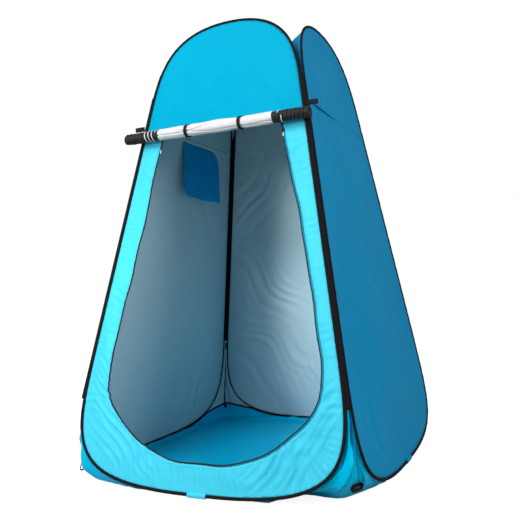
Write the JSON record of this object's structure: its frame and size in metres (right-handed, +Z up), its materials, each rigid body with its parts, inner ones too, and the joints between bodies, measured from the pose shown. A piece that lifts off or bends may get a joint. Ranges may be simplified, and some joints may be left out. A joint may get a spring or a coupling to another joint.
{
  "type": "privacy shower tent",
  "caption": "Pop-up privacy and shower tent: sprung hoop walls leaning inward, fabric walls, roof and floor, and a rolled-up door tied over a tall doorway.",
  "frame": {"origin": "on the ground at the centre of the tent's footprint", "axes": "+Z up, the door wall faces -Y, +X to the right seen from the door"},
  "size_m": [1.2436, 1.2436, 1.8997],
  "materials": {
    "spring_steel": "cold-rolled strip",
    "binding_cloth": "woven black binding tape",
    "joint_cloth": "plain woven",
    "light_blue_cloth": "coated taffeta, slightly glossy",
    "cyan_cloth": "coated taffeta, slightly glossy",
    "blue_cloth": "coated taffeta outside, silver coating inside",
    "floor_cloth": "coated waterproof cloth",
    "dark_blue_cloth": "plain woven",
    "lining_cloth": "silver-white coating",
    "window_net": "fine net",
    "webbing": "ribbed webbing",
    "black_plastic": "moulded",
    "white_plastic": "moulded"
  },
  "bodies": {
    "front_wall": {"hoop_front": "spring_steel", "sleeve_front": "binding_cloth", "ferrule_front": "spring_steel", "joint_patch_front": "joint_cloth", "front_upper_panel": "cyan_cloth", "door_surround": "light_blue_cloth", "door_zip_tape": "binding_cloth", "roof_panel": "cyan_cloth", "floor": "floor_cloth", "floor_seam_tape": "binding_cloth", "gusset_front_right": "blue_cloth", "gusset_front_left": "blue_cloth", "peg_loop_front_right": "webbing", "peg_loop_front_left": "webbing", "guy_loop_front_right": "webbing", "guy_loop_front_left": "webbing", "tie_left": "webbing", "toggle_left": "black_plastic", "tie_right": "webbing", "toggle_right": "black_plastic"},
    "right_wall": {"hoop_right": "spring_steel", "sleeve_right": "binding_cloth", "ferrule_right": "spring_steel", "joint_patch_right": "joint_cloth", "right_lower_panel": "blue_cloth", "right_upper_panel": "blue_cloth", "gusset_back_right": "blue_cloth", "peg_loop_back_right": "webbing"},
    "back_wall": {"hoop_back": "spring_steel", "sleeve_back": "binding_cloth", "ferrule_back": "spring_steel", "joint_patch_back": "joint_cloth", "back_lower_panel": "blue_cloth", "back_upper_panel": "blue_cloth"},
    "left_wall": {"hoop_left": "spring_steel", "sleeve_left": "binding_cloth", "ferrule_left": "spring_steel", "joint_patch_left": "joint_cloth", "left_lower_panel": "blue_cloth", "left_upper_panel": "blue_cloth", "window_mesh": "window_net", "gusset_back_left": "blue_cloth", "peg_loop_back_left": "webbing"},
    "window_flap": {"window_flap": "dark_blue_cloth"},
    "rolled_door": {"door_roll": "lining_cloth", "roll_tape_left": "binding_cloth", "roll_tape_right": "binding_cloth"},
    "zip_slider_left": {"zip_slider_left": "black_plastic"},
    "zip_pull_left": {"zip_pull_left": "white_plastic"},
    "zip_slider_right": {"zip_slider_right": "black_plastic"},
    "zip_pull_right": {"zip_pull_right": "white_plastic"}
  },
  "joints": [
    {"name": "right_fold", "type": "hinge", "parent": "front_wall", "child": "right_wall", "pos_m": [0.60961, -0.60961, 0], "axis": [-0.1545, 0.1545, 0.9758], "range_deg": [0, 85], "stiffness_Nm_per_rad": 3, "springref_deg": -28.65, "deforming": ["roof_panel", "floor", "floor_seam_tape", "gusset_front_right", "gusset_back_right", "gusset_back_left", "gusset_front_left", "peg_loop_front_right", "peg_loop_back_right", "peg_loop_back_left", "peg_loop_front_left", "guy_loop_front_right", "guy_loop_front_left", "window_flap"]},
    {"name": "back_fold", "type": "hinge", "parent": "right_wall", "child": "back_wall", "pos_m": [0.61417, 0.61417, 0], "axis": [-0.1545, -0.1545, 0.9758], "range_deg": [-83.5, 0]},
    {"name": "left_fold", "type": "hinge", "parent": "front_wall", "child": "left_wall", "pos_m": [-0.61417, -0.61417, 0], "axis": [0.1545, 0.1545, 0.9758], "range_deg": [0, 84.3]},
    {"name": "window_flap_swing", "type": "hinge", "parent": "left_wall", "child": "window_flap", "pos_m": [-0.381, 0.07, 1.447], "axis": [0, -1, 0], "range_deg": [-8.5, 135]},
    {"name": "door_unroll", "type": "slide", "parent": "front_wall", "child": "rolled_door", "axis": [0, -0.1564, -0.9877], "range_m": [0, 1.19], "deforming": ["tie_left", "tie_right", "toggle_left", "toggle_right"]},
    {"name": "zip_left", "type": "slide", "parent": "front_wall", "child": "zip_slider_left", "axis": [-0.1844, -0.1537, -0.9708], "range_m": [0, 0.3]},
    {"name": "pull_left", "type": "hinge", "parent": "zip_slider_left", "child": "zip_pull_left", "pos_m": [-0.2903, -0.40814, 1.33411], "axis": [-1, 0, 0], "range_deg": [0, 100]},
    {"name": "zip_right", "type": "slide", "parent": "front_wall", "child": "zip_slider_right", "axis": [0.1844, -0.1537, -0.9708], "range_m": [0, 0.3]},
    {"name": "pull_right", "type": "hinge", "parent": "zip_slider_right", "child": "zip_pull_right", "pos_m": [0.2903, -0.40814, 1.33411], "axis": [-1, 0, 0], "range_deg": [0, 100]}
  ],
  "couplings": [
    {"joint": "back_fold", "follows": "right_fold", "ratio": -0.98},
    {"joint": "left_fold", "follows": "right_fold", "ratio": 0.99}
  ]
}
